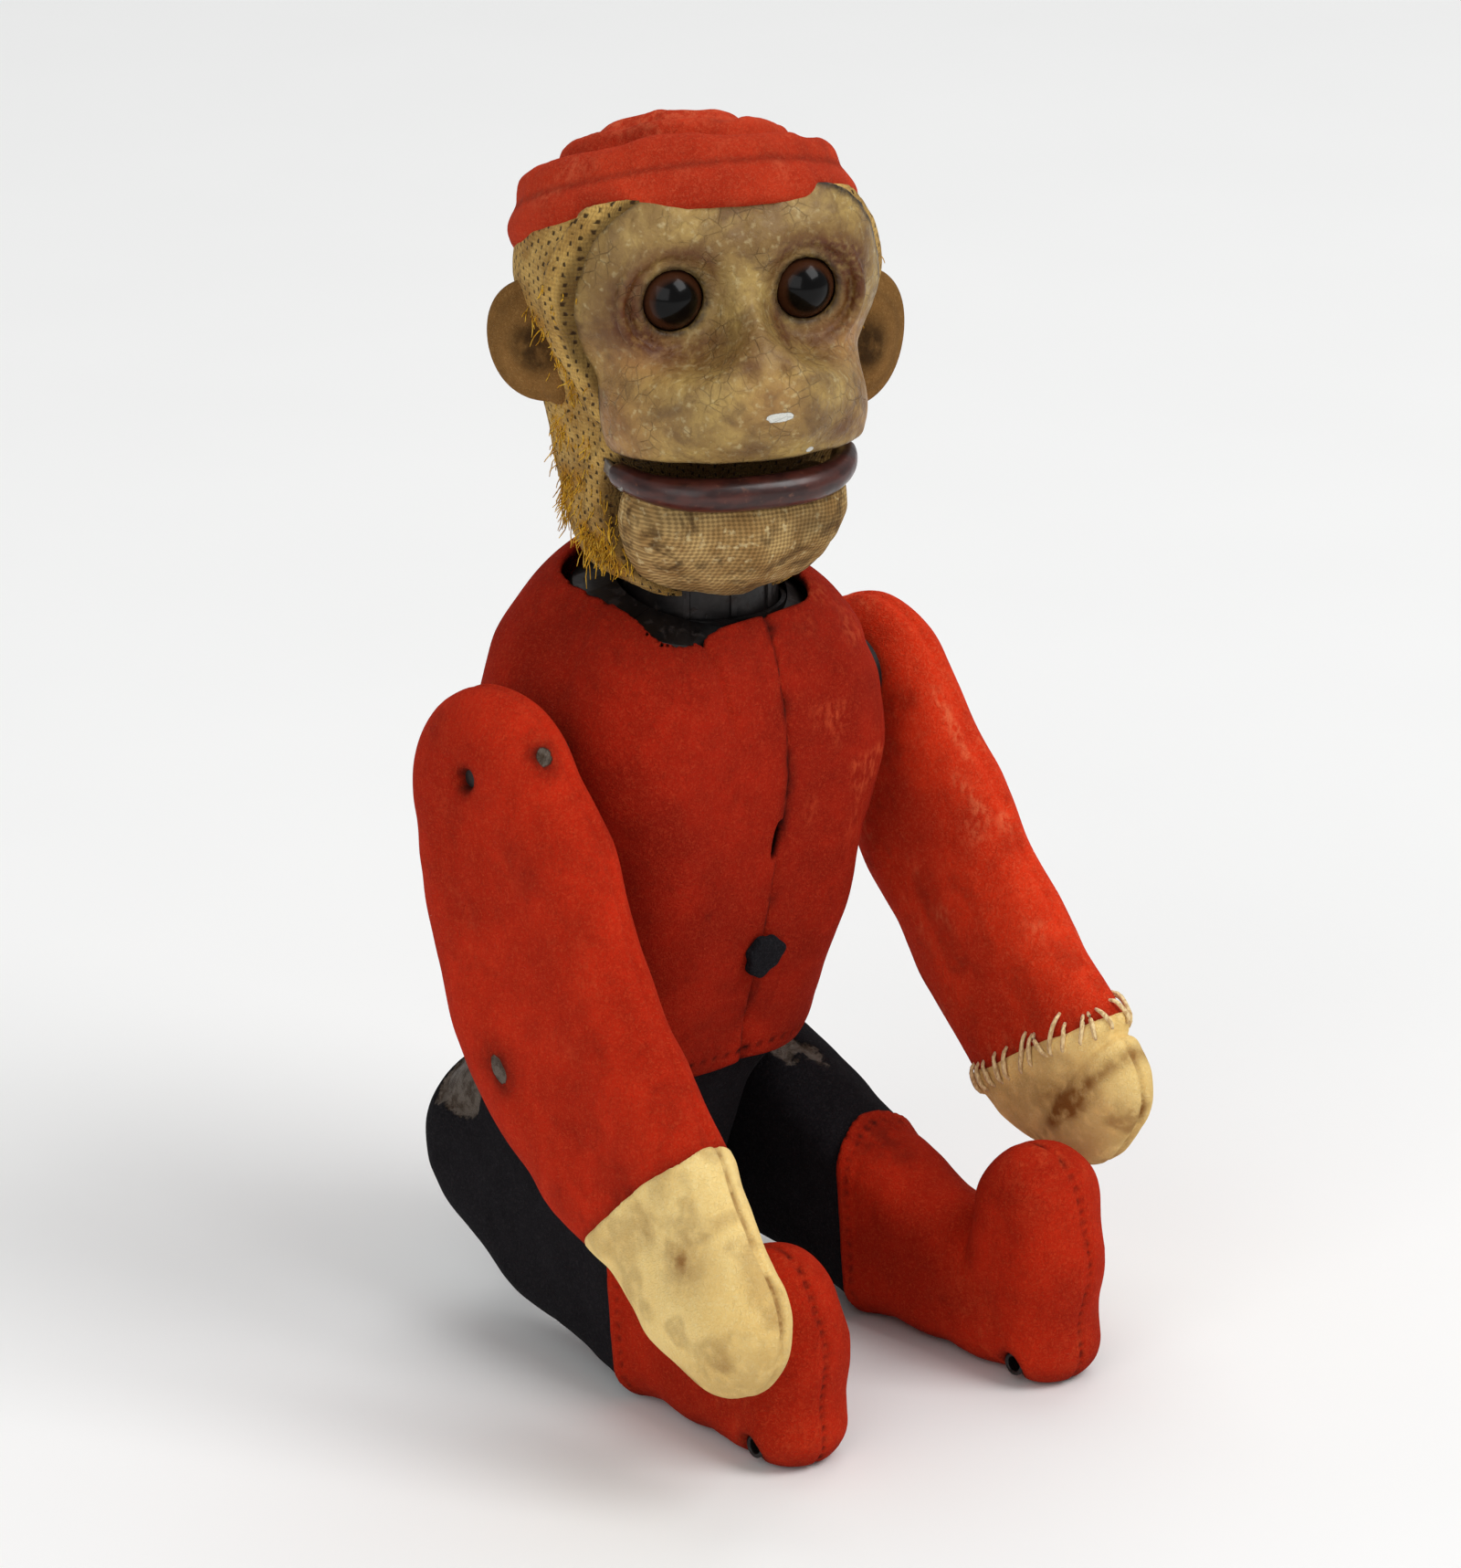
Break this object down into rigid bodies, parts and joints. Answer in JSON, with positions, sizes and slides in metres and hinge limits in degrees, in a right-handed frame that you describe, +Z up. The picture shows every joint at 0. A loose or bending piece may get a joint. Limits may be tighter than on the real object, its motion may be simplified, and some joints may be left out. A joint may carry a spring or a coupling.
{
  "type": "wind-up monkey toy",
  "caption": "Seated clockwork monkey of felt over pressed tin, with swinging arms on one shaft, jointed legs, turning head and hinged jaw.",
  "frame": {"origin": "middle of the flat underside of the seat", "axes": "+Z up, the toy faces -Y, +X is the toy's left"},
  "size_m": [0.0728, 0.0755, 0.1468],
  "materials": {
    "jacket_felt": "faded red felt",
    "cap_felt": "red felt",
    "boot_felt": "worn red felt",
    "trouser_felt": "near-black felt",
    "mitten_felt": "cream felt",
    "button_felt": "black felt",
    "thread": "cream thread",
    "head_plush": "worn tan mohair plush",
    "ear_felt": "olive-tan felt",
    "chin_linen": "soiled linen",
    "face_paint": "aged crackled paint",
    "lip_paint": "glossy dark red-brown paint",
    "eye_glass": "brown glass",
    "neck_tin": "dark japanned tin",
    "tinplate": "aged tinplate",
    "spring_steel": "blued steel",
    "clock_brass": "dull brass"
  },
  "bodies": {
    "torso": {"torso_front_shell": "tinplate", "torso_back_shell": "tinplate", "seat_plate": "tinplate", "jacket": "jacket_felt", "jacket_button": "button_felt", "trousers_seat": "trouser_felt", "neck_collar": "neck_tin", "shaft_bush_right": "clock_brass", "shaft_bush_left": "clock_brass", "motor_plate_right": "clock_brass", "motor_plate_left": "clock_brass", "motor_pillars": "tinplate", "mainspring": "spring_steel", "hip_rod": "tinplate", "hip_caps": "tinplate"},
    "arms": {"arm_shaft": "tinplate", "ratchet_wheel": "tinplate", "arm_core_right": "tinplate", "arm_core_left": "tinplate", "arm_hub_right": "tinplate", "arm_hub_left": "tinplate", "sleeve_right": "jacket_felt", "sleeve_left": "jacket_felt", "hand_right": "mitten_felt", "hand_left": "mitten_felt", "wrist_stitches": "thread"},
    "great_wheel": {"great_wheel": "clock_brass", "click_spring": "spring_steel"},
    "click": {"click": "tinplate"},
    "second": {"second_arbor": "tinplate", "second_wheel": "clock_brass"},
    "third": {"third_arbor": "tinplate", "third_wheel": "clock_brass"},
    "governor": {"governor_arbor": "tinplate", "governor_fly": "clock_brass"},
    "neck": {"neck_drum": "neck_tin", "neck_fork": "neck_tin"},
    "head": {"nod_pin": "tinplate", "skull_shell": "tinplate", "face_mask": "face_paint", "head_plush": "head_plush", "cap": "cap_felt", "ear_right": "ear_felt", "ear_left": "ear_felt", "eye_right": "eye_glass", "eye_left": "eye_glass", "jaw_pin": "tinplate"},
    "jaw": {"jaw_shell": "tinplate", "lower_lip": "lip_paint", "jaw_brackets": "tinplate", "chin_cloth": "chin_linen"},
    "leg_right": {"leg_core_right": "tinplate", "trouser_leg_right": "trouser_felt", "boot_right": "boot_felt", "heel_rivet_right": "tinplate"},
    "leg_left": {"leg_core_left": "tinplate", "trouser_leg_left": "trouser_felt", "boot_left": "boot_felt", "heel_rivet_left": "tinplate"}
  },
  "joints": [
    {"name": "arm_shaft_turn", "type": "hinge", "parent": "torso", "child": "arms", "pos_m": [0, -0.014, 0.075], "axis": [1, 0, 0], "continuous": true},
    {"name": "great_wheel_turn", "type": "hinge", "parent": "torso", "child": "great_wheel", "pos_m": [0, -0.014, 0.075], "axis": [1, 0, 0], "continuous": true},
    {"name": "click_lift", "type": "hinge", "parent": "great_wheel", "child": "click", "pos_m": [-0.00195, -0.022, 0.075], "axis": [1, 0, 0], "range_deg": [0, 9], "stiffness_Nm_per_rad": 0.0005},
    {"name": "second_turn", "type": "hinge", "parent": "torso", "child": "second", "pos_m": [0, -0.01051, 0.06196], "axis": [1, 0, 0], "continuous": true},
    {"name": "third_turn", "type": "hinge", "parent": "torso", "child": "third", "pos_m": [0, -0.00843, 0.05218], "axis": [1, 0, 0], "continuous": true},
    {"name": "governor_turn", "type": "hinge", "parent": "torso", "child": "governor", "pos_m": [0, -0.00491, 0.04389], "axis": [1, 0, 0], "continuous": true},
    {"name": "right_hip_turn", "type": "hinge", "parent": "torso", "child": "leg_right", "pos_m": [-0.0169, 0, 0.0218], "axis": [1, 0, 0], "range_deg": [-4, 92]},
    {"name": "left_hip_turn", "type": "hinge", "parent": "torso", "child": "leg_left", "pos_m": [0.0169, 0, 0.0218], "axis": [1, 0, 0], "range_deg": [-4, 92]},
    {"name": "neck_turn", "type": "hinge", "parent": "torso", "child": "neck", "pos_m": [0, -0.014, 0.09], "axis": [0, 0, 1], "range_deg": [-9, 55]},
    {"name": "head_nod", "type": "hinge", "parent": "neck", "child": "head", "pos_m": [0, -0.014, 0.1], "axis": [0.9205, -0.3907, 0], "range_deg": [-4, 4]},
    {"name": "jaw_open", "type": "hinge", "parent": "head", "child": "jaw", "pos_m": [-0.00172, -0.01805, 0.1092], "axis": [0.9205, -0.3907, 0], "range_deg": [-3, 6]}
  ],
  "couplings": [
    {"joint": "great_wheel_turn", "follows": "arm_shaft_turn", "ratio": 1},
    {"joint": "second_turn", "follows": "arm_shaft_turn", "ratio": -4},
    {"joint": "third_turn", "follows": "arm_shaft_turn", "ratio": 16},
    {"joint": "governor_turn", "follows": "arm_shaft_turn", "ratio": -64}
  ]
}
